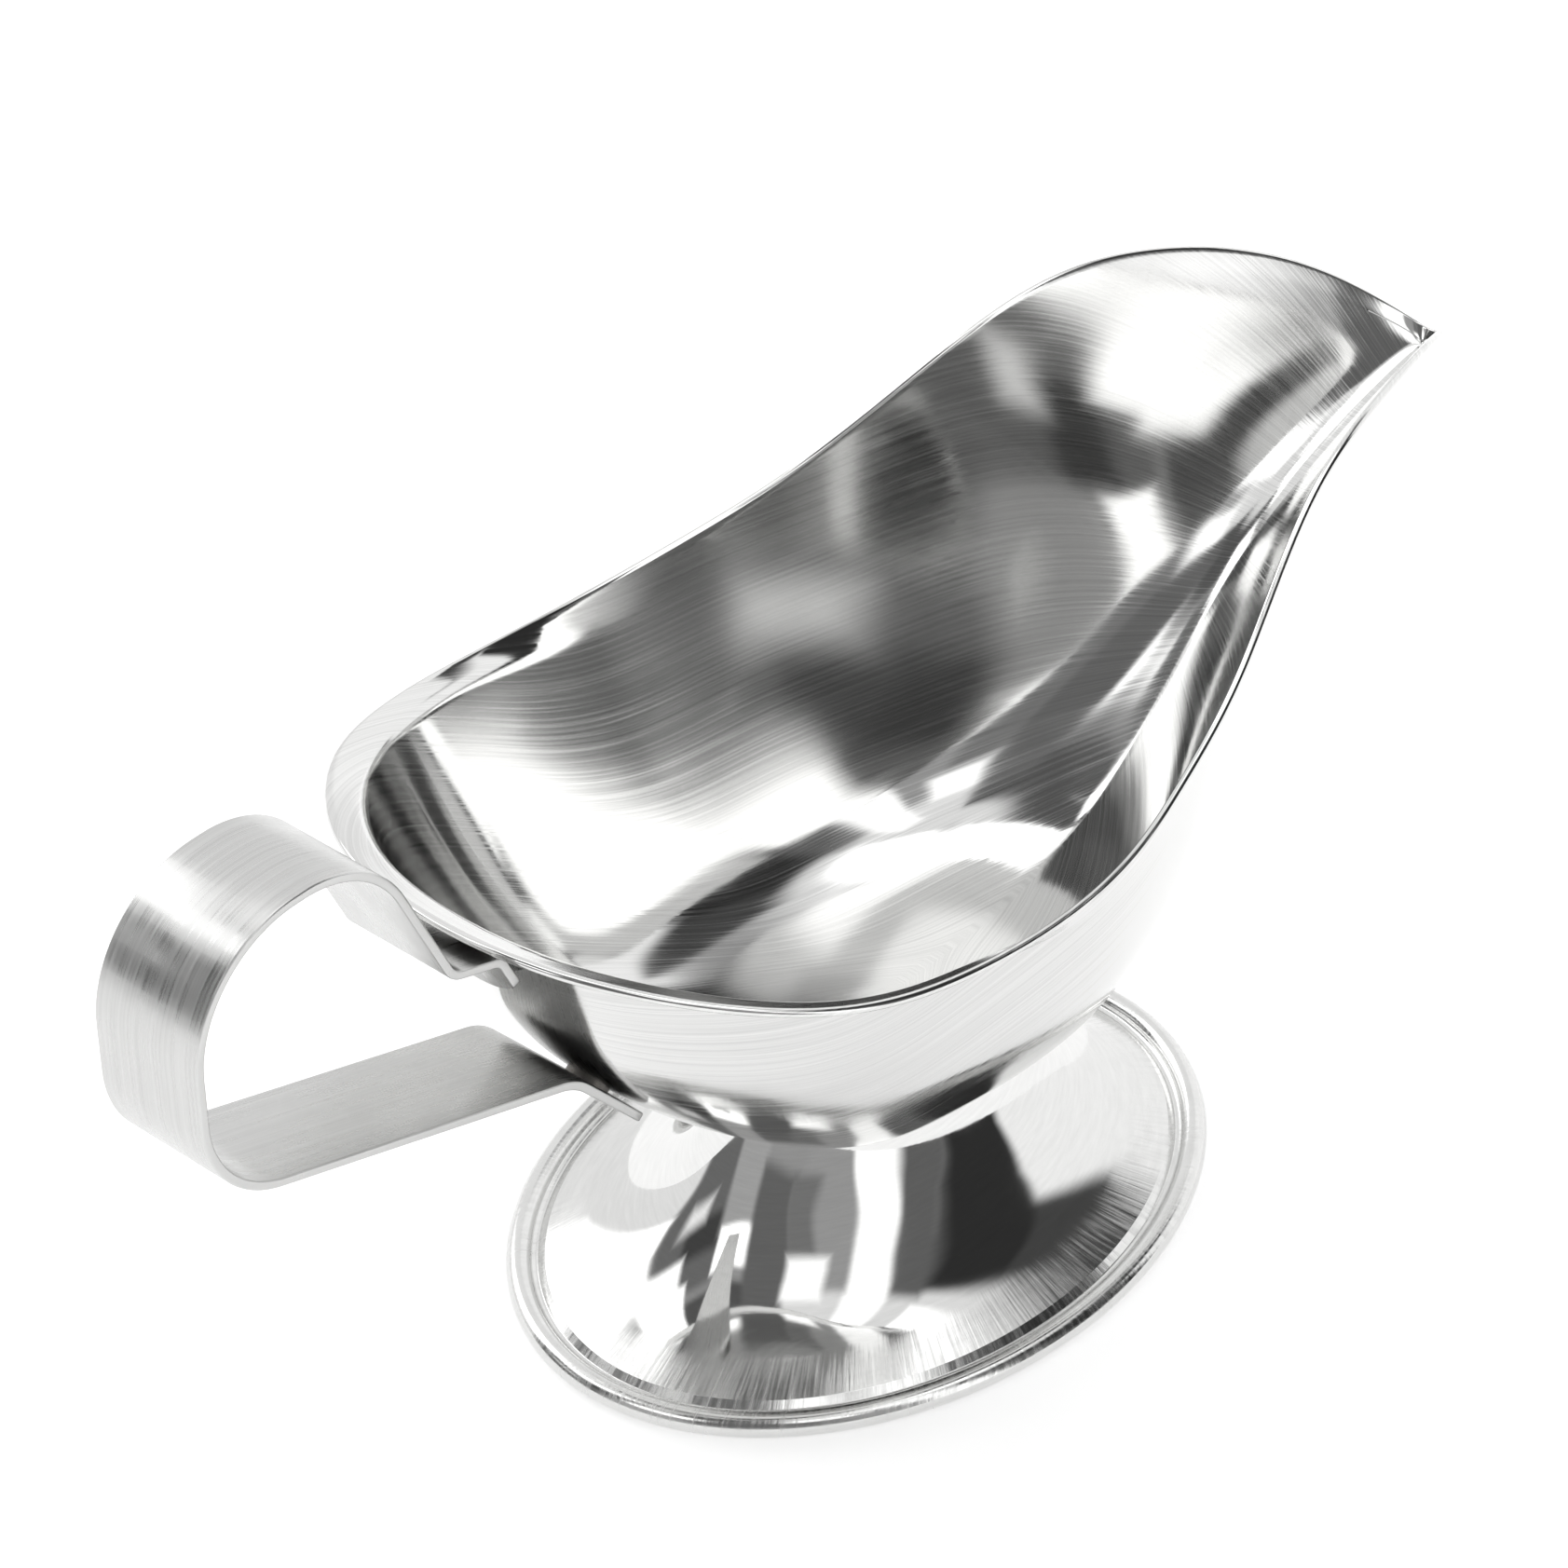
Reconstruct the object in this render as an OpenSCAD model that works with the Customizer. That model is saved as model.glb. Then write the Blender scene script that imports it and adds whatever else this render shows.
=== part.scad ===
// Sauce boat: a pressed sheet bowl with a drawn-out pouring spout, on a
// flared oval foot, with a looped strap handle welded on behind.
// Frame: +X towards the spout, +Y to the left of someone pouring, +Z up.
// Origin: middle of the foot, on the table. Millimetres.

/* [Bowl] */
// thickness of the bowl's sheet
bowl_sheet = 0.9; // [0.7:0.1:1.2]
// points around each half of the bowl
bowl_steps = 40; // [30:10:50]
// rings from the bottom up to the crease under the lip
bowl_rings = 12; // [10:1:16]
// rise of the lip over its width
lip_rise = 0.5; // [0.3:0.05:0.7]

/* [Foot] */
// half of the foot's length
foot_half_length = 43.5; // [42:0.5:46]
// half of the foot's width
foot_half_width = 33.5; // [33:0.5:37]
// thickness of the foot's sheet
foot_sheet = 0.9; // [0.7:0.1:1.2]
// radius of the rolled bead round the foot's edge
bead_radius = 1.4; // [1.2:0.1:1.6]
// how far the bead's groove lies in from the edge
groove_inset = 3.6; // [3.4:0.1:4]
// how far the flat ring's inner edge lies in from the edge
ring_inset = 8.5; // [8:0.25:9]
// height of the flat ring's inner edge
ring_height = 4.2; // [4:0.1:4.6]
// radius of the sweep from the ring up to the neck
sweep_radius = 35; // [33:1:38]
// slope of the sweep where it leaves the ring, in degrees
sweep_start = 25; // [22:1:27]
// slope of the sweep at the neck, in degrees
sweep_end = 70; // [66:1:72]

/* [Handle] */
// width of the strap
strap_width = 14; // [12:0.5:15]
// thickness of the strap
strap_sheet = 1.0; // [0.8:0.1:1.2]
// radius of the bow across the strap's two ends
strap_end_radius = 9; // [8.5:0.5:12]

/* [Welds] */
// radius of each spot weld
weld_radius = 2.5; // [2:0.25:3]
// radius of the foot's weld disc
foot_weld_radius = 6; // [4:0.5:7]

/* [Hidden] */
$fn = 96;

// The bowl's lines, from the middle of the back round to the spout's tip:
// rim x, rim half width, rim z, keel x, keel z, wall power, lip width.
// The smooth curve follows these points and mirrors itself at both ends.
BOWL_LINES = [
    [-61.5,  0.0, 75.0,   6.0, 25.0, 3.3, 3.8],
    [-58.5, 17.0, 74.0,   6.0, 25.0, 3.3, 3.8],
    [-43.5, 34.0, 69.0,   6.0, 25.0, 3.8, 3.6],
    [-26.5, 39.0, 65.5,   6.0, 25.0, 4.0, 3.0],
    [ -1.0, 38.5, 63.5,  13.0, 24.8, 4.3, 1.8],
    [ 14.0, 34.5, 66.4,  25.5, 25.0, 4.4, 1.0],
    [ 28.0, 30.8, 69.5,  38.5, 28.5, 4.2, 0.9],
    [ 47.0, 23.7, 81.0,  50.5, 38.0, 2.4, 0.9],
    [ 64.0, 21.1, 83.4,  63.0, 50.5, 1.7, 0.9],
    [ 88.0, 11.3, 76.0,  79.5, 58.0, 1.9, 0.9],
    [102.7,  0.0, 58.5, 104.0, 64.5, 1.7, 0.9]
];
LAST = len(BOWL_LINES) - 1;
MIRROR_Y = [1, -1, 1, 1, 1, 1, 1];

// a line of the table, carried on past both ends by mirroring
function line_at(i) =
    i < 0 ? times(BOWL_LINES[-i], MIRROR_Y)
    : i > LAST ? times(BOWL_LINES[2 * LAST - i], MIRROR_Y)
    : BOWL_LINES[i];
function times(a, b) = [for (k = [0:len(a) - 1]) a[k] * b[k]];

// uniform cubic B-spline through the table, s from 0 to LAST
function blend(s) =
    let (i = min(floor(s), LAST - 1), f = s - i)
    (line_at(i - 1) * pow(1 - f, 3)
     + line_at(i) * (3 * pow(f, 3) - 6 * f * f + 4)
     + line_at(i + 1) * (-3 * pow(f, 3) + 3 * f * f + 3 * f + 1)
     + line_at(i + 2) * pow(f, 3)) / 6;

// crease under the lip: in from the rim towards the keel, and down.
// Near the tip the lip takes at most this part of the way to the keel.
MOST_LIP = 0.4;
function crease(b) =
    let (dx = b[0] - b[3], dy = b[1], r = norm([dx, dy]) + 0.001, k = 1 - min(b[6] / r, MOST_LIP))
    [b[3] + dx * k, dy * k, b[2] - b[6] * lip_rise];

// Point of the bowl's outer skin. s runs round one half, v up the wall:
// v 0 to 1 is the wall, from keel to crease, v 1 to 2 the lip.
function skin(s, v) =
    let (b = blend(s), c = crease(b))
    v <= 1
        ? let (g = sin(90 * v))
          [b[3] + (c[0] - b[3]) * g, c[1] * g, b[4] + (c[2] - b[4]) * pow(g, b[5])]
        : [c[0], c[1], c[2]] * (2 - v) + [b[0], b[1], b[2]] * (v - 1);

// same, with s beyond 0 or LAST folded back and mirrored across y = 0
function skin_round(s, v) =
    s < 0 ? flip_y(skin(-s, v)) : s > LAST ? flip_y(skin(2 * LAST - s, v)) : skin(s, v);
function flip_y(p) = [p[0], -p[1], p[2]];

// inward unit normal from two short steps along the skin
STEP = 0.02;
function inward(s, v) =
    let (a = skin_round(s + STEP, v) - skin_round(s - STEP, v),
         hi = min(v + STEP, v <= 1 ? 1 : 2), lo = max(v - STEP, v <= 1 ? 0 : 1),
         b = skin_round(s, hi) - skin_round(s, lo),
         n = cross(a, b))
    n / (norm(n) + 0.000001);

// The inner skin, one sheet's thickness inside the outer one. In the narrow
// tip it keeps a part of the outer skin's distance from the middle.
NARROWEST = 0.3;
function inner(s, v) =
    let (o = skin(s, v), p = o + inward(s, v) * bowl_sheet)
    [p[0], max(p[1], NARROWEST * o[1]), p[2]];

WALL_LEVELS = [for (j = [1:bowl_rings]) j / bowl_rings];
LEVELS = concat(WALL_LEVELS, [1.5, 2]);
AROUND = 2 * bowl_steps;

// s for point k of a full ring: round one half, then back along the other
function s_of(k) = k * LAST / bowl_steps;
function ring_point(k, v, inside) =
    k <= bowl_steps
        ? (inside ? inner(s_of(k), v) : skin(s_of(k), v))
        : flip_y(inside ? inner(s_of(AROUND - k), v) : skin(s_of(AROUND - k), v));

module bowl() {
    outer_pts = [for (v = LEVELS) for (k = [0:AROUND - 1]) ring_point(k, v, false)];
    inner_pts = [for (v = LEVELS) for (k = [0:AROUND - 1]) ring_point(k, v, true)];
    half = len(LEVELS) * AROUND;
    color("silver")
    polyhedron(points = concat(outer_pts, inner_pts), faces = concat(
        // across the keel, from each point to its mirrored one
        [for (k = [0:bowl_steps - 1]) each keel_face(k, 0, true)],
        [for (k = [0:bowl_steps - 1]) each keel_face(k, half, false)],
        [for (j = [0:len(LEVELS) - 2]) for (k = [0:AROUND - 1]) for (t = [0, 1])
            let (a = j * AROUND + k, b = j * AROUND + (k + 1) % AROUND)
            t == 0 ? [a, b + AROUND, a + AROUND] : [a, b, b + AROUND]],
        [for (j = [0:len(LEVELS) - 2]) for (k = [0:AROUND - 1]) for (t = [0, 1])
            let (a = half + j * AROUND + k, b = half + j * AROUND + (k + 1) % AROUND)
            t == 0 ? [a, a + AROUND, b + AROUND] : [a, b + AROUND, b]],
        [for (k = [0:AROUND - 1]) for (t = [0, 1])
            let (a = half - AROUND + k, b = half - AROUND + (k + 1) % AROUND)
            t == 0 ? [a, b + half, a + half] : [a, b, b + half]]
    ), convexity = 6);
}

// the one or two triangles that cross the keel beyond point k
function keel_face(k, base, outward) =
    let (p = base + k, q = base + k + 1,
         q2 = base + AROUND - k - 1, p2 = base + (AROUND - k) % AROUND,
         tris = concat(k == 0 ? [] : [[p2, q2, p]], k == bowl_steps - 1 ? [] : [[p, q2, q]]))
    outward ? tris : [for (t = tris) [t[0], t[2], t[1]]];

// ---- foot ------------------------------------------------------------
// One closed skin of oval rings, each set in from the outer edge by its
// inset: down the outside, round under the bead and back up inside.
SWEEP_CENTRE = [ring_inset - sweep_radius * sin(sweep_start),
                ring_height + sweep_radius * cos(sweep_start)];
BOWL_BOTTOM = 25;
WELD_GAP = 0.4;
PLATE_TOP = BOWL_BOTTOM - WELD_GAP;
GROOVE_Z = 1.7;
NECK_CORNER = 1.2;

// [inset, height] on the sweep, moved off along its normal by t
function sweep(slope, t) = SWEEP_CENTRE + (sweep_radius + t) * [sin(slope), -cos(slope)];
SWEEP_SLOPES = [for (k = [0:8]) sweep_end + (sweep_start - sweep_end) * k / 8];
NECK = sweep(sweep_end, 0);
PLATE_INSET = NECK[0] + (PLATE_TOP - NECK[1]) / tan(sweep_end);

FOOT_SKIN = concat(
    [[PLATE_INSET + NECK_CORNER, PLATE_TOP], [PLATE_INSET + 0.2, PLATE_TOP - 0.4]],
    [for (slope = SWEEP_SLOPES) sweep(slope, 0)],
    [[groove_inset + 2, GROOVE_Z + 0.7], [groove_inset, GROOVE_Z], [2 * bead_radius, GROOVE_Z]],
    [for (k = [0:5]) bead_radius * [1 - cos(150 - 35 * k), 1 + sin(150 - 35 * k)]],
    [[bead_radius - 0.6, 0], [bead_radius + 0.6, 0], [2 * bead_radius, 0.6]],
    [[groove_inset, GROOVE_Z - foot_sheet], [groove_inset + 2, GROOVE_Z + 0.7 - foot_sheet]],
    [for (k = [8:-1:0]) sweep(SWEEP_SLOPES[k], foot_sheet)],
    [[PLATE_INSET + NECK_CORNER + foot_sheet, PLATE_TOP - foot_sheet]]
);
FOOT_AROUND = 72;

// towards the neck the rings are set in less at the sides than at the ends
NECK_SPREAD = 0.011;
function side_inset(inset) = inset - NECK_SPREAD * pow(max(0, inset - ring_inset), 2);

function oval(inset, z) = [for (k = [0:FOOT_AROUND - 1])
    [(foot_half_length - inset) * cos(360 * k / FOOT_AROUND),
     (foot_half_width - side_inset(inset)) * sin(360 * k / FOOT_AROUND), z]];

module foot() {
    rows = len(FOOT_SKIN);
    top = rows * FOOT_AROUND;
    color("silver")
    polyhedron(points = concat([for (p = FOOT_SKIN) each oval(p[0], p[1])],
                               [[0, 0, PLATE_TOP], [0, 0, PLATE_TOP - foot_sheet]]),
        faces = concat(
        [for (k = [0:FOOT_AROUND - 1]) [top, (k + 1) % FOOT_AROUND, k]],
        [for (k = [0:FOOT_AROUND - 1])
            [top + 1, top - FOOT_AROUND + k, top - FOOT_AROUND + (k + 1) % FOOT_AROUND]],
        [for (j = [0:rows - 2]) for (k = [0:FOOT_AROUND - 1]) for (t = [0, 1])
            let (a = j * FOOT_AROUND + k, b = j * FOOT_AROUND + (k + 1) % FOOT_AROUND)
            t == 0 ? [a, b + FOOT_AROUND, a + FOOT_AROUND] : [a, b, b + FOOT_AROUND]]
    ), convexity = 6);
}

// ---- handle ----------------------------------------------------------
// Middle line of the strap in side view, as corners [x, z, bend radius].
STRAP_LINE = [
    [-54.5, 65.2, 0],
    [-57.7, 72.1, 2],
    [-64.2, 74.2, 3],
    [-73.8, 95.4, 13.5],
    [-97.3, 95.4, 13.5],
    [-97.3, 66.8, 13],
    [-48.5, 50.8, 8],
    [-37.6, 38.2, 0]
];
ENDS = len(STRAP_LINE) - 1;
ARC_STEP = 6;

function corner(i) = [STRAP_LINE[i][0], STRAP_LINE[i][1]];
function along(i) = let (d = corner(i + 1) - corner(i)) d / norm(d);
function left_of(d) = [-d[1], d[0]];
function turn_at(i) = let (a = along(i - 1), b = along(i)) atan2(a[0] * b[1] - a[1] * b[0], a * b);

// one bend as points of the middle line, each with its direction
function bend(i) =
    let (r = STRAP_LINE[i][2], turn = turn_at(i), in = along(i - 1),
         start = corner(i) - in * r * tan(abs(turn) / 2),
         centre = start + left_of(in) * sign(turn) * r,
         steps = ceil(abs(turn) / ARC_STEP))
    [for (k = [0:steps])
        let (t = turn * k / steps, d = [in[0] * cos(t) - in[1] * sin(t), in[0] * sin(t) + in[1] * cos(t)])
        [centre - left_of(d) * sign(turn) * r, d]];

STRAP_PATH = concat([[corner(0), along(0)]], [for (i = [1:ENDS - 1]) each bend(i)],
                    [[corner(ENDS), along(ENDS - 1)]]);

module strap_profile() {
    half = strap_sheet / 2;
    last = len(STRAP_PATH) - 1;
    polygon(concat([for (p = STRAP_PATH) p[0] + left_of(p[1]) * half],
                   [for (k = [last:-1:0]) STRAP_PATH[k][0] - left_of(STRAP_PATH[k][1]) * half]));
}

// what is cut away beyond the strap's bowed end
module end_cut(at, direction) {
    translate([at[0], 0, at[1]]) rotate([0, atan2(-direction[1], direction[0]), 0])
        difference() {
            translate([-strap_end_radius, -strap_width, -2 * strap_sheet])
                cube([2 * strap_end_radius, 2 * strap_width, 4 * strap_sheet]);
            translate([-strap_end_radius, 0, -3 * strap_sheet])
                cylinder(r = strap_end_radius, h = 6 * strap_sheet);
        }
}

module handle() {
    color("silver") difference() {
        rotate([90, 0, 0]) linear_extrude(strap_width, center = true) strap_profile();
        end_cut(corner(0), -along(0));
        end_cut(corner(ENDS), along(ENDS - 1));
    }
}

// ---- welds -----------------------------------------------------------
// Flat nugget between the strap's inner face and the bowl's wall.
UPPER_WELD_BACK = 3.6;
LOWER_WELD_BACK = 5;
NUGGET = 0.45;

module nugget(end, direction, back, side) {
    at = end - direction * back + left_of(direction) * side * strap_sheet / 2;
    translate([at[0], 0, at[1]]) rotate([0, atan2(-direction[1], direction[0]), 0])
        translate([0, 0, side > 0 ? 0 : -NUGGET]) cylinder(r = weld_radius, h = NUGGET);
}

module upper_weld() { color("gray") nugget(corner(0), -along(0), UPPER_WELD_BACK, 1); }
module lower_weld() { color("gray") nugget(corner(ENDS), along(ENDS - 1), LOWER_WELD_BACK, 1); }
module foot_weld() {
    color("gray") translate([0, 0, PLATE_TOP]) cylinder(r = foot_weld_radius, h = WELD_GAP);
}

bowl();
foot();
handle();
upper_weld();
lower_weld();
foot_weld();
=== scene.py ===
"""Sauce boat in polished stainless steel: a pressed bowl with a long pouring spout, on a
flared oval foot, with a strap handle. Lengths are in millimetres until a mesh is made."""
import math

import bpy
import numpy as np
from mathutils import Matrix, Vector


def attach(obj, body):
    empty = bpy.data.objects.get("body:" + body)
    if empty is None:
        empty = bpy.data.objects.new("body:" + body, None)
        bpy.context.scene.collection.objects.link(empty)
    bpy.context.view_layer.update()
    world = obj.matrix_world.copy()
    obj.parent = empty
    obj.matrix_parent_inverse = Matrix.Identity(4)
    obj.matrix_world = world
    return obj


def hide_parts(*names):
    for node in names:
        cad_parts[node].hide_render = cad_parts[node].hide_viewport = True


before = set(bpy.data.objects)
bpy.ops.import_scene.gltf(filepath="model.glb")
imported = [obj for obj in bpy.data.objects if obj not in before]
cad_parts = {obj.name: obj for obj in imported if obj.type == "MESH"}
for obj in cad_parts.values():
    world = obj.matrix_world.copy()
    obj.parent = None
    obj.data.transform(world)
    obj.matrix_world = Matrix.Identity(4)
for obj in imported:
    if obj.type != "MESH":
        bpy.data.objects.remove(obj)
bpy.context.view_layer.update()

MM = 0.001
SHEET = 0.9

# ---------------------------------------------------------------- mesh helpers


def mesh_piece(name, points, faces, material, slot, *nodes):
    """One smooth-shaded piece from points in mm, which stands for the named CAD nodes."""
    mesh = bpy.data.meshes.new(name)
    mesh.from_pydata((points * MM).tolist(), [], faces)
    mesh.shade_smooth()
    mesh.materials.append(material)
    piece = bpy.data.objects.new(name, mesh)
    bpy.context.scene.collection.objects.link(piece)
    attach(piece, "root")
    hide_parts(*nodes)
    return piece


def ring_faces(rows, around):
    """Quads between neighbouring rings of points, where ring j starts at point j * around."""
    j, k = np.meshgrid(np.arange(rows - 1), np.arange(around), indexing="ij")
    a, b = j * around + k, j * around + (k + 1) % around
    return np.stack([a, a + around, b + around, b], -1).reshape(-1, 4).tolist()


def filleted(corners, step=3.0):
    """Points and unit directions along straight runs joined by arcs. A corner is (x, z, radius),
    and each arc has a point about every step degrees."""
    corners = np.asarray(corners, float)
    runs = np.diff(corners[:, :2], axis=0)
    runs /= np.linalg.norm(runs, axis=1)[:, None]
    points, directions = [corners[0, :2]], [runs[0]]
    for corner, before, after in zip(corners[1:-1], runs[:-1], runs[1:]):
        turn = math.atan2(before[0] * after[1] - before[1] * after[0], before @ after)
        side = math.copysign(1, turn)
        start = corner[:2] - before * corner[2] * math.tan(abs(turn) / 2)
        centre = start + side * corner[2] * np.array([-before[1], before[0]])
        angles = turn * np.linspace(0, 1, max(2, math.ceil(math.degrees(abs(turn)) / step) + 1))
        d = np.stack([before[0] * np.cos(angles) - before[1] * np.sin(angles),
                      before[0] * np.sin(angles) + before[1] * np.cos(angles)], -1)
        points.extend(centre - side * corner[2] * np.stack([-d[:, 1], d[:, 0]], -1))
        directions.extend(d)
    return np.array(points + [corners[-1, :2]]), np.array(directions + [runs[-1]])


# ------------------------------------------------------------------------ bowl

# The bowl's lines, from the middle of the back round to the spout's tip:
# rim x, rim half width, rim z, keel x, keel z, wall power, lip width.
BOWL_LINES = np.array([
    [-61.5, 0.0, 75.0, 6.0, 25.0, 3.3, 3.8],
    [-58.5, 17.0, 74.0, 6.0, 25.0, 3.3, 3.8],
    [-43.5, 34.0, 69.0, 6.0, 25.0, 3.8, 3.6],
    [-26.5, 39.0, 65.5, 6.0, 25.0, 4.0, 3.0],
    [-1.0, 38.5, 63.5, 13.0, 24.8, 4.3, 1.8],
    [14.0, 34.5, 66.4, 25.5, 25.0, 4.4, 1.0],
    [28.0, 30.8, 69.5, 38.5, 28.5, 4.2, 0.9],
    [47.0, 23.7, 81.0, 50.5, 38.0, 2.4, 0.9],
    [64.0, 21.1, 83.4, 63.0, 50.5, 1.7, 0.9],
    [88.0, 11.3, 76.0, 79.5, 58.0, 1.9, 0.9],
    [102.7, 0.0, 58.5, 104.0, 64.5, 1.7, 0.9],
])
LIP_RISE = 0.5  # mm up for each mm of the lip's width
MOST_LIP = 0.4  # the lip's largest share of the way from the keel to the rim
NARROWEST = 0.3  # the inner skin's least half width, as a share of the outer skin's
CREASE_BEND = 0.7  # mm of wall, and of lip, that the crease's curve takes up
NO_FLARE, FULL_FLARE = 0.95, 3.0  # lip widths where the flare fades out and where it is full
EDGE_SHARE = 0.45  # the rounded edge's largest share of the lip
BOWL_HALF = 200  # steps along each half of the rim
WALL_ROWS, CREASE_ROWS, LIP_ROWS, EDGE_ROWS = 64, 9, 6, 9
KEEL_GAP = 0.01  # where the first row lies, on the way from the keel to the crease
GRAIN = "grain"
# The sheet is drawn out thinner at the spout's tip, where the keel comes near the rim.
THINNEST, TIP_REACH = 0.35, 10.0


def bowl_lines(s):
    """Uniform cubic B-spline through BOWL_LINES at s, which goes on past both ends by
    mirroring its lines in y."""
    last = len(BOWL_LINES) - 1
    i = np.minimum(np.floor(s).astype(int), last - 1)
    f = (s - i)[:, None]

    def line(k):
        past = (k < 0) | (k > last)
        row = BOWL_LINES[np.where(k < 0, -k, np.where(k > last, 2 * last - k, k))].copy()
        row[:, 1] *= np.where(past, -1, 1)
        return row

    return (line(i - 1) * (1 - f) ** 3 + line(i) * (3 * f**3 - 6 * f**2 + 4)
            + line(i + 1) * (-3 * f**3 + 3 * f**2 + 3 * f + 1) + line(i + 2) * f**3) / 6


def bowl_outside():
    """Outer skin as points [around, up], and the sheet's thickness at each. From the keel the
    wall goes out by g and rises by g to the wall power. At the crease it bends into the
    straight lip: the lip's direction replaces the wall's along a short parabola, so the
    crease is round. Where the lip is narrow the wall runs on to the rim, without a crease."""
    lines = bowl_lines(np.linspace(0, len(BOWL_LINES) - 1, BOWL_HALF + 1))
    rim, power, lip = lines[:, None, :3], lines[:, None, 5:6], lines[:, None, 6:7]
    keel = np.stack([lines[:, 3], 0 * lines[:, 3], lines[:, 4]], -1)[:, None]
    flat = (rim - keel) * [1, 1, 0]
    reach = np.linalg.norm(flat, axis=-1, keepdims=True) + MM
    inward = np.minimum(lip / reach, MOST_LIP)
    crease = rim - flat * inward - [0, 0, 1] * lip * LIP_RISE
    left = 1 - inward
    plain_wall = keel + (rim - keel) * np.concatenate([left, left, left**power], -1)
    flared = np.clip((lip - NO_FLARE) / (FULL_FLARE - NO_FLARE), 0, 1)
    crease = plain_wall + (crease - plain_wall) * flared**2 * (3 - 2 * flared)
    span = crease - keel
    wall_end = span * np.concatenate([power**0, power**0, power], -1)
    wall_length = np.linalg.norm(wall_end, axis=-1, keepdims=True)
    lip_line = rim - crease
    lip_length = np.linalg.norm(lip_line, axis=-1, keepdims=True)
    bend = np.minimum(CREASE_BEND, lip_length / 2)

    g = np.sin(np.linspace(KEEL_GAP, 1, WALL_ROWS) * math.pi / 2)[None, :, None]
    up_wall = (g * (1 - bend / wall_length) - 1) * wall_length
    over_crease = np.linspace(-1, 1, CREASE_ROWS)[None, 1:, None] * bend
    edge_room = np.minimum(SHEET / 2, lip_length * EDGE_SHARE)
    share = np.linspace(0, 1, LIP_ROWS)[None, 1:, None]
    up_lip = bend + (lip_length - edge_room - bend) * share
    t = np.concatenate([up_wall, over_crease, up_lip], 1)  # distance past the crease
    g = np.minimum(1 + t / wall_length, 1)
    wall = keel + span * np.concatenate([g, g, g**power], -1)
    wall += wall_end / wall_length * np.maximum(t, 0)
    ramp = np.where(t > bend, t, np.maximum(t + bend, 0) ** 2 / (4 * bend))
    half = wall + (lip_line / lip_length - wall_end / wall_length) * ramp
    thinned = THINNEST + (1 - THINNEST) * np.clip(reach / TIP_REACH, 0, 1)
    thickness = np.repeat(SHEET * thinned, half.shape[1], 1)
    return (np.concatenate([half, half[-2:0:-1] * [1, -1, 1]]),
            np.concatenate([thickness, thickness[-2:0:-1]]))


def make_bowl(material):
    """The outer skin, a half-round edge and the inner skin, one sheet further in along the
    normal. In the narrow tip the inner skin keeps off the middle. The grain attribute holds
    each point's distance round the rim from the back and up the wall, in mm."""
    outer, thickness = bowl_outside()
    around = np.roll(outer, -1, 0) - np.roll(outer, 1, 0)
    normal = np.cross(around, np.gradient(outer, axis=1))
    normal /= np.linalg.norm(normal, axis=-1, keepdims=True)
    inner = outer + normal * thickness
    side = np.sign(outer[..., 1])
    inner[..., 1] = side * np.maximum(side * inner[..., 1], side * outer[..., 1] * NARROWEST)
    edge_out, edge_in = outer[:, -1:], inner[:, -1:]
    ahead = outer[:, -1:] - outer[:, -2:-1]
    ahead /= np.linalg.norm(ahead, axis=-1, keepdims=True)
    angle = np.linspace(0, math.pi, EDGE_ROWS)[None, 1:-1, None]
    edge = ((edge_out + edge_in) / 2 + (edge_out - edge_in) / 2 * np.cos(angle)
            + ahead * thickness[:, -1:] / 2 * np.sin(angle))
    skin = np.concatenate([outer, edge, inner[:, ::-1]], 1)
    count, rows = skin.shape[:2]
    faces = ring_faces(rows, count)
    for base, turned in ((0, False), ((rows - 1) * count, True)):
        for k in range(BOWL_HALF):
            face = [k, k + 1, count - k - 1, (count - k) % count]
            face = [base + i for i in dict.fromkeys(face)]
            faces.append(face[::-1] if turned else face)
    piece = mesh_piece("bowl_sheet", skin.transpose(1, 0, 2).reshape(-1, 3), faces, material,
                       "polished_sheet", "bowl")
    round_half = np.linalg.norm(np.diff(outer[:BOWL_HALF + 1, -1], axis=0), axis=1).cumsum()
    round_half = np.concatenate([[0], round_half])
    around_mm = np.concatenate([round_half, round_half[-2:0:-1]])
    up_mm = np.linalg.norm(np.diff(skin, axis=1), axis=-1).cumsum(1)
    up_mm = np.concatenate([np.zeros((count, 1)), up_mm], 1)
    grain = np.stack([np.broadcast_to(around_mm[:, None], up_mm.shape), up_mm, 0 * up_mm], -1)
    grain = grain.transpose(1, 0, 2).astype(np.float32).ravel()
    attribute = piece.data.attributes.new(GRAIN, "FLOAT_VECTOR", "POINT")
    attribute.data.foreach_set("vector", grain)


# ------------------------------------------------------------------------ foot

FOOT_HALF = np.array([43.5, 33.5])
RING_INSET = 8.5
NECK_SPREAD = 0.011  # the sides' inset is less by this times its square past RING_INSET
FOOT_AROUND = 240
BEAD = 1.4  # radius of the rolled edge
BEAD_FROM, BEAD_TO, BEAD_ROWS = 155, -145, 26  # degrees, and rows of points
# Corners (inset from the edge, height, fillet radius), down the outside from the weld disc
# to the groove inside the bead, and back up the inside.
FOOT_OUTSIDE = [(33.0, 24.6, 0), (26.83, 24.6, 0.9), (21.64, 10.33, 35), (4.3, 2.24, 0.35),
                (3.45, 1.55, 0.3), (2.7, 1.6, 0)]
FOOT_INSIDE = [(2.7, 0.6, 0), (4.3, 1.25, 0.5), (21.95, 9.5, 35.9), (27.17, 23.7, 0.5),
               (33.0, 23.7, 0)]


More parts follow.
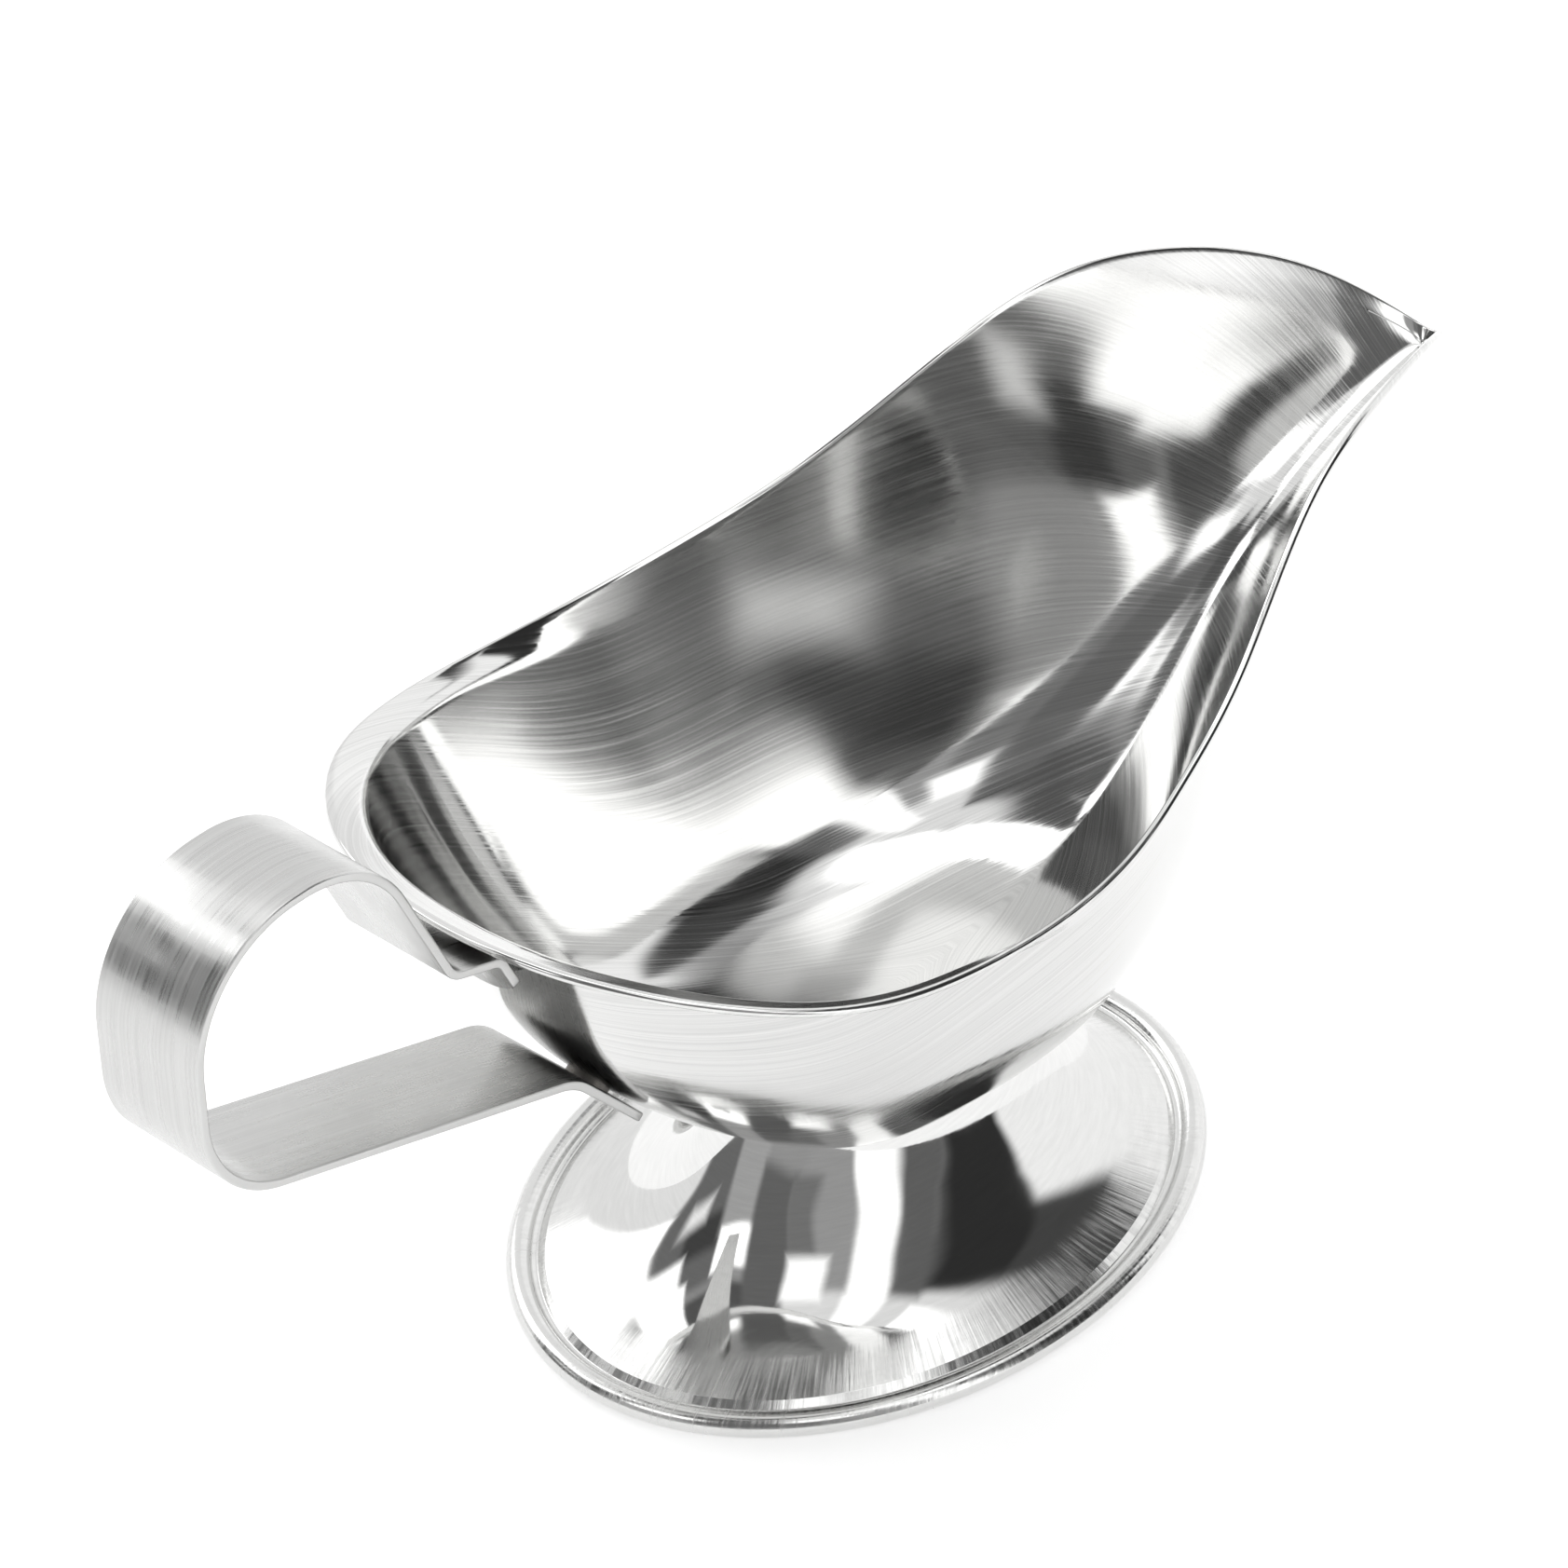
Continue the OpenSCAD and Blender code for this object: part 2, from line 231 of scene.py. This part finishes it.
def make_foot(material):
    """Oval rings, each an ellipse set in from the edge by its inset, and less at the sides
    towards the neck: the filleted outside, the rolled bead as an arc, the filleted inside."""
    angle = np.radians(np.linspace(BEAD_FROM, BEAD_TO, BEAD_ROWS))
    bead = BEAD * np.stack([1 - np.cos(angle), 1 + np.sin(angle)], -1)
    bead[:, 1] = np.maximum(bead[:, 1], 0)
    profile = np.concatenate([filleted(FOOT_OUTSIDE)[0], bead, filleted(FOOT_INSIDE)[0]])
    turn = np.radians(np.arange(FOOT_AROUND) * 360 / FOOT_AROUND)
    inset = profile[:, :1]
    spread = NECK_SPREAD * np.maximum(inset - RING_INSET, 0) ** 2
    half = FOOT_HALF - np.concatenate([inset, inset - spread], 1)
    rings = np.stack([half[:, :1] * np.cos(turn), half[:, 1:] * np.sin(turn),
                      np.repeat(profile[:, 1:], FOOT_AROUND, 1)], -1)
    rows = len(profile)
    top, under = [[0, 0, profile[0, 1]]], [[0, 0, profile[-1, 1]]]
    points = np.concatenate([rings.reshape(-1, 3), top, under])
    faces = ring_faces(rows, FOOT_AROUND)
    last = (rows - 1) * FOOT_AROUND
    faces += [[last + FOOT_AROUND, k, (k + 1) % FOOT_AROUND] for k in range(FOOT_AROUND)]
    faces += [[last + FOOT_AROUND + 1, last + (k + 1) % FOOT_AROUND, last + k]
              for k in range(FOOT_AROUND)]
    mesh_piece("foot_sheet", points, faces, material, "foot_sheet", "foot")


# ---------------------------------------------------------------------- handle

STRAP_WIDTH = 14.0
STRAP_SHEET = 1.0
STRAP_END = 9.0  # radius of the bow at each end
# The strap's middle line in side view: (x, z, bend radius).
STRAP_LINE = [(-54.5, 65.2, 0), (-57.7, 72.1, 2), (-64.2, 74.2, 3), (-73.8, 95.4, 13.5),
              (-97.3, 95.4, 13.5), (-97.3, 66.8, 13), (-48.5, 50.8, 8), (-37.6, 38.2, 0)]
EDGE_ROUND = 0.22  # radius of the broken edges
CORNER_POINTS = 5
# Rings near each end start END_GAP from it and open out over END_REACH, END_RINGS of them.
# Between RUN_FROM and RUN_TO mm from the ends there is one each mm, and more in each bend.
END_GAP, END_REACH, END_RINGS = 0.005, 3.6, 14
RUN_FROM, RUN_TO = 4.5, 4.0
CLOSEST_RINGS = 0.004


def make_handle(material):
    """A rounded rectangle carried along the filleted middle line. Near both ends its width
    follows a circle, so that the ends are bowed."""
    points, directions = filleted(STRAP_LINE)
    length = np.concatenate([[0], np.cumsum(np.linalg.norm(np.diff(points, axis=0), axis=1))])
    total = length[-1]
    near = END_GAP + END_REACH * (1 - np.cos(np.linspace(0, math.pi / 2, END_RINGS)))
    runs = np.arange(RUN_FROM, total - RUN_TO, 1.0)
    stations = np.unique(np.round(np.concatenate([near, length[1:-1], runs, total - near]), 4))
    stations = stations[np.concatenate([[True], np.diff(stations) > CLOSEST_RINGS])]
    middle = np.stack([np.interp(stations, length, points[:, i]) for i in (0, 1)], -1)
    ahead = np.stack([np.interp(stations, length, directions[:, i]) for i in (0, 1)], -1)
    ahead /= np.linalg.norm(ahead, axis=1)[:, None]
    from_end = np.minimum(np.minimum(stations, total - stations), STRAP_END)
    half = np.minimum(np.sqrt(STRAP_END**2 - (STRAP_END - from_end) ** 2), STRAP_WIDTH / 2)

    corner = np.radians(np.linspace(0, 90, CORNER_POINTS))
    loop_y, loop_t = [], []
    for sy, st in ((1, 1), (-1, 1), (-1, -1), (1, -1)):
        y, t = np.cos(corner) - 1, np.sin(corner) - 1
        flip = slice(None) if sy * st > 0 else slice(None, None, -1)
        loop_y.append(np.stack([np.full(CORNER_POINTS, sy), sy * EDGE_ROUND * y], -1)[flip])
        loop_t.append((st * (STRAP_SHEET / 2 + EDGE_ROUND * t))[flip])
    loop_y, loop_t = np.concatenate(loop_y), np.concatenate(loop_t)
    y = loop_y[:, 0] * half[:, None] + loop_y[:, 1]
    off = np.stack([-ahead[:, 1], ahead[:, 0]], -1)
    rings = np.stack([middle[:, :1] + off[:, :1] * loop_t, y,
                      middle[:, 1:] + off[:, 1:] * loop_t], -1)
    rows, count = rings.shape[:2]
    faces = [face[::-1] for face in ring_faces(rows, count)]
    faces += [list(range(count))[::-1], [(rows - 1) * count + i for i in range(count)]]
    mesh_piece("strap_handle", rings.reshape(-1, 3), faces, material, "brushed_strap", "handle")


# -------------------------------------------------------------------- materials


def linear(hex_colour):
    """sRGB hex to linear red, green, blue and alpha."""
    c = np.array([int(hex_colour[i:i + 2], 16) for i in (1, 3, 5)]) / 255
    c = np.where(c <= 0.04045, c / 12.92, ((c + 0.055) / 1.055) ** 2.4)
    return (*c, 1.0)


def add(tree, kind, inputs=None, out=0, **settings):
    """A shader node with its settings. Each input, by name or number, takes a value or another
    node's output. Returns the output of that name or number."""
    node = tree.nodes.new("ShaderNode" + kind)
    for name, value in settings.items():
        setattr(node, name, value)
    for name, value in (inputs or {}).items():
        if isinstance(value, bpy.types.NodeSocket):
            tree.links.new(value, node.inputs[name])
        else:
            node.inputs[name].default_value = value
    return node.outputs[out]


# Share of each finer octave in a pattern, and the middle part of a noise that shows.
OCTAVE_SHARE = 0.6
NOISE_LOW, NOISE_HIGH = 0.3, 0.7


def start_steel(name, patterns):
    """A metal material, the place on its piece in mm, and a noise between 0 and 1 for each
    pattern. A pattern is (attribute to follow or None, grains per mm along each axis, detail)."""
    material = bpy.data.materials.new(name)
    material.use_nodes = True
    tree = material.node_tree
    tree.nodes["Principled BSDF"].inputs["Metallic"].default_value = 1
    place = add(tree, "TexCoord", out="Object")
    in_mm = add(tree, "VectorMath", {0: place, "Scale": 1 / MM}, operation="SCALE")
    noises = []
    for attribute, per_mm, detail in patterns:
        followed = in_mm
        if attribute:
            followed = add(tree, "Attribute", out="Vector", attribute_name=attribute)
        grains = add(tree, "VectorMath", {0: followed, 1: per_mm}, operation="MULTIPLY")
        noises.append(add(tree, "TexNoise", {"Vector": grains, "Scale": 1.0, "Detail": detail,
                                             "Roughness": OCTAVE_SHARE}))
    return material, in_mm, noises


def finish_steel(material, rough, tone, dark, light, relief):
    """Roughness is a sum of parts (noise, from, to, least, most). The colour goes from dark to
    light with the tone noise. Relief is a sum of up to three parts (noise, depth in mm)."""
    tree = material.node_tree
    shader = tree.nodes["Principled BSDF"]
    roughness = 0.0
    for noise, low, high, least, most in rough:
        part = add(tree, "MapRange", {0: noise, 1: low, 2: high, 3: least, 4: most})
        roughness = add(tree, "Math", {0: roughness, 1: part}, operation="ADD")
    share = add(tree, "MapRange", {0: tone, 1: NOISE_LOW, 2: NOISE_HIGH})
    colour = add(tree, "Mix", {0: share, 6: linear(dark), 7: linear(light)}, out=2,
                 data_type="RGBA")
    heights = add(tree, "CombineXYZ", {axis: noise for axis, (noise, _) in enumerate(relief)})
    depths = ([depth for _, depth in relief] + [0, 0])[:3]
    height = add(tree, "VectorMath", {0: heights, 1: depths}, out="Value",
                 operation="DOT_PRODUCT")
    normal = add(tree, "Bump", {"Height": height, "Distance": MM, "Strength": 1.0})
    for name, socket in (("Roughness", roughness), ("Base Color", colour), ("Normal", normal)):
        tree.links.new(socket, shader.inputs[name])
    return material


def polished_sheet_steel():
    """18/10 stainless sheet, pressed and then polished on a mop. To the eye it is nearly a
    mirror with fine lines along the bowl, a few longer scratches and a faint pressing ripple.
    The mop's lines are about 0.02 mm apart; they are drawn 0.35 mm apart, so that they show."""
    material, _, (mop, scuffs, scratch, patches, pressing) = start_steel(
        "polished_stainless_sheet", [
            (GRAIN, (0.02, 2.8, 1.0), 2.0),
            (GRAIN, (0.01, 1.1, 1.0), 1.0),
            (GRAIN, (0.03, 2.2, 1.0), 0.0),
            (None, (0.05, 0.07, 0.07), 2.0),
            (None, (0.035, 0.05, 0.05), 0.0),
        ])
    rough = [(patches, 0.4, 0.65, 0.035, 0.12), (mop, 0.35, 0.7, 0.0, 0.09),
             (scratch, 0.7, 0.76, 0.0, 0.05)]
    relief = [(mop, 0.0019), (scuffs, 0.0035), (pressing, 0.10)]
    return finish_steel(material, rough, mop, "#D3D3D2", "#E6E6E5", relief)


def foot_sheet_steel():
    """The same sheet spun and polished round the foot: a mirror on the sweep, and on the flat
    ring near the edge the radial lines of the trimming cut, 0.5 mm apart."""
    lines_per_radian, across_lines = 75.0, 0.3
    ring_top, ring_faded = 3.4, 4.8
    material, in_mm, (patches, mop, pressing) = start_steel("spun_stainless_sheet", [
        (None, (0.06, 0.06, 0.06), 2.0),
        (None, (0.25, 0.25, 3.0), 3.0),
        (None, (0.06, 0.06, 0.06), 0.0),
    ])
    tree = material.node_tree
    x, y, z = add(tree, "SeparateXYZ", {0: in_mm}).node.outputs
    rounded = add(tree, "Math", {0: y, 1: FOOT_HALF[0] / FOOT_HALF[1]}, operation="MULTIPLY")
    turn = add(tree, "Math", {0: rounded, 1: x}, operation="ARCTAN2")
    rays = [add(tree, "Math", {0: value, 1: per_unit}, operation="MULTIPLY")
            for value, per_unit in ((turn, lines_per_radian), (z, across_lines))]
    place = add(tree, "CombineXYZ", {0: rays[0], 1: rays[1]})
    cut = add(tree, "TexNoise", {"Vector": place, "Scale": 1.0, "Detail": 3.0})
    on_ring = add(tree, "MapRange", {0: z, 1: ring_top, 2: ring_faded, 3: 1.0, 4: 0.0},
                  interpolation_type="SMOOTHSTEP")
    cut_on_ring = add(tree, "Math", {0: cut, 1: on_ring}, operation="MULTIPLY")
    least, most = (add(tree, "Math", {0: on_ring, 1: cut_roughness}, operation="MULTIPLY")
                   for cut_roughness in (0.05, 0.22))
    rough = [(patches, 0.4, 0.65, 0.03, 0.08), (cut, 0.35, 0.65, least, most)]
    relief = [(mop, 0.001), (cut_on_ring, 0.014), (pressing, 0.3)]
    return finish_steel(material, rough, mop, "#D9D9D8", "#E0E0DF", relief)


def brushed_strap_steel():
    """Stainless strip brushed along its length before it was bent: satin, with lines along the
    strap, drawn 0.35 mm apart, and duller handling marks."""
    material, _, (brush, marks) = start_steel("brushed_stainless_strip", [
        (None, (0.02, 2.8, 0.02), 3.0),
        (None, (0.12, 0.25, 0.12), 2.0),
    ])
    rough = [(brush, NOISE_LOW, NOISE_HIGH, 0.20, 0.34), (marks, 0.4, 0.7, 0.0, 0.08)]
    return finish_steel(material, rough, brush, "#C4C4C3", "#D2D2D1", [(brush, 0.006)])


def weld_scale_steel():
    """Spot-welded stainless: dull, heat-darkened and slightly pitted."""
    material, _, (grain,) = start_steel("spot_weld_scale", [(None, (2.5, 2.5, 2.5), 4.0)])
    rough = [(grain, NOISE_LOW, NOISE_HIGH, 0.3, 0.6)]
    return finish_steel(material, rough, grain, "#6E6A66", "#9A9793", [(grain, 0.05)])


# ----------------------------------------------------------------------- pieces

make_bowl(polished_sheet_steel())
make_foot(foot_sheet_steel())
make_handle(brushed_strap_steel())
weld_steel = weld_scale_steel()
for weld in ("upper_weld", "lower_weld", "foot_weld"):
    for material_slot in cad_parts[weld].material_slots:
        material_slot.material = weld_steel

# ----------------------------------------------------------------- camera, light


# The lens and the camera's place in metres. It looks at the object from this azimuth and
# elevation, rolled a little, and then turned off the object by these shares.
LENS_MM = 158.76
CAMERA_PLACE = (-0.41905, -0.39163, 0.49623)
CAMERA_AZIMUTH, CAMERA_ELEVATION, CAMERA_ROLL = -48.52, 38.36, -0.70
TURN_RIGHT, TURN_UP = -0.031374, 0.015445


def make_camera():
    """The view's right, up and forward directions as the camera's axes."""
    camera = bpy.data.cameras.new("camera")
    camera.lens = LENS_MM
    obj = bpy.data.objects.new("camera", camera)
    bpy.context.scene.collection.objects.link(obj)
    az, el, roll = map(math.radians, (CAMERA_AZIMUTH, CAMERA_ELEVATION, CAMERA_ROLL))
    back = Vector((math.sin(az) * math.cos(el), -math.cos(az) * math.cos(el), math.sin(el)))
    level = Vector((math.cos(az), math.sin(az), 0))
    upright = back.cross(level)
    right = level * math.cos(roll) + upright * math.sin(roll)
    up = -level * math.sin(roll) + upright * math.cos(roll)
    ahead = (-back + TURN_RIGHT * right + TURN_UP * up).normalized()
    right = (right - ahead * right.dot(ahead)).normalized()
    up = right.cross(ahead)
    axes = Matrix((right, up, -ahead)).transposed().to_4x4()
    axes.translation = Vector(CAMERA_PLACE)
    obj.matrix_world = axes
    bpy.context.scene.camera = obj


# The studio as directions from the object, in degrees: azimuth from +X towards +Y, elevation
# from the horizon. Each zone is (azimuth from, to, elevation from, to, softness, brightness).
STUDIO_BASE = 0.38
STUDIO = [
    (-180, 180, 56, 91, 8, 0.95),   # pale ceiling
    (-36, 34, -20, 46, 8, 1.15),    # white wall beyond the spout
    (28, 112, -20, 75, 6, 0.98),    # white wall on the left
    (78, 113, 20, 50, 5, 2.40),     # lit part of it
    (114, 160, -20, 53, 6, 0.18),   # dark doorway behind the handle's left
    (130, 160, 28, 41, 6, 0.07),    # its darkest part
    (112, 132, 40, 53, 7, 2.40),    # window in it
    (125, 141, 19, 28, 9, 1.10),    # lamp in it
    (158, 196, -20, 36, 8, 0.46),   # grey wall behind the handle
    (160, 200, 35, 50, 5, 2.30),    # softbox above the handle
    (100, 225, 55, 78, 6, 0.11),    # dark ceiling corner
    (110, 138, 50, 66, 5, 2.30),    # softbox over the left shoulder
    (-76, -8, 37, 57, 6, 0.07),     # dark boom on the right
    (-62, -33, -20, 55, 5, 0.035),  # dark stand under it
    (-78, -60, -20, 60, 8, 0.15),   # its lighter side
    (-97, -76, -20, 74, 5, 1.60),   # tall softbox on the right
    (-126, -97, -20, 58, 8, 0.40),  # grey wall
    (-166, -132, 12, 66, 8, 0.16),  # dark behind the camera
    (-134, -116, 12, 44, 6, 0.22),  # its lighter side
    (-133, -110, 45, 61, 9, 1.90),  # softbox beside the camera
    (-60, 100, 64, 86, 5, 2.00),    # softbox overhead
]
STUDIO_WAVE = 3  # degrees by which a slow noise moves the zones sideways, and half that upwards
WAVE_SCALE = 1.8


def make_studio():
    """World shader: the base brightness with every zone laid over it, with a smooth edge. The
    camera itself sees plain white, so every view has the same backdrop."""
    world = bpy.data.worlds.new("studio")
    bpy.context.scene.world = world
    world.use_nodes = True
    tree = world.node_tree
    towards = add(tree, "TexCoord", out="Generated")
    x, y, z = add(tree, "SeparateXYZ", {0: towards}).node.outputs
    azimuth = add(tree, "Math", {0: y, 1: x}, operation="ARCTAN2")
    elevation = add(tree, "Math", {0: z}, operation="ARCSINE")
    wave = add(tree, "TexNoise", {"Vector": towards, "Scale": WAVE_SCALE, "Detail": 0.0},
               out="Color")
    sideways, upwards, _ = add(tree, "SeparateXYZ", {0: wave}).node.outputs
    angles = []
    for angle, noise, most in ((azimuth, sideways, STUDIO_WAVE),
                               (elevation, upwards, STUDIO_WAVE / 2)):
        moved = add(tree, "MapRange", {0: noise, 1: NOISE_LOW, 2: NOISE_HIGH, 3: -most, 4: most})
        degrees = add(tree, "Math", {0: angle, 1: math.degrees(1)}, operation="MULTIPLY")
        angles.append(add(tree, "Math", {0: degrees, 1: moved}, operation="ADD"))
    light = STUDIO_BASE
    for left, right, low, high, softness, brightness in STUDIO:
        room = []
        for angle, start, end in zip(angles, (left, low), (right, high)):
            off = add(tree, "Math", {0: angle, 1: -(start + end) / 2}, operation="ADD")
            off = add(tree, "Math", {0: off, 1: 180.0, 2: -180.0}, operation="WRAP")
            off = add(tree, "Math", {0: off}, operation="ABSOLUTE")
            room.append(add(tree, "Math", {0: (end - start) / 2, 1: off}, operation="SUBTRACT"))
        if right - left >= 360:  # all round, so only the elevation counts
            room[0] = room[1]
        inside = add(tree, "Math", {0: room[0], 1: room[1]}, operation="MINIMUM")
        share = add(tree, "MapRange", {0: inside, 1: -softness / 2, 2: softness / 2},
                    interpolation_type="SMOOTHSTEP")
        light = add(tree, "Mix", {0: share, 2: light, 3: brightness})
    seen = add(tree, "LightPath", out="Is Camera Ray")
    light = add(tree, "Mix", {0: seen, 2: light, 3: 1.0})
    background = tree.nodes["Background"]
    background.inputs["Color"].default_value = (1, 1, 1, 1)
    tree.links.new(light, background.inputs["Strength"])


def make_floor():
    """White table top just under the foot, glowing a little as a lit studio sweep does."""
    mesh = bpy.data.meshes.new("table_top")
    half, level = 3.0, -0.0002  # metres
    mesh.from_pydata([(-half, -half, level), (half, -half, level), (half, half, level),
                      (-half, half, level)], [], [(0, 1, 2, 3)])
    material = bpy.data.materials.new("white_table")
    material.use_nodes = True
    shader = material.node_tree.nodes["Principled BSDF"]
    shader.inputs["Base Color"].default_value = linear("#F2F2F2")
    shader.inputs["Roughness"].default_value = 0.9
    shader.inputs["Specular IOR Level"].default_value = 0.0
    shader.inputs["Emission Color"].default_value = (1, 1, 1, 1)
    shader.inputs["Emission Strength"].default_value = 0.45
    mesh.materials.append(material)
    floor = bpy.data.objects.new("table_top", mesh)
    bpy.context.scene.collection.objects.link(floor)


make_camera()
make_studio()
make_floor()
bpy.context.scene.view_settings.view_transform = "Standard"
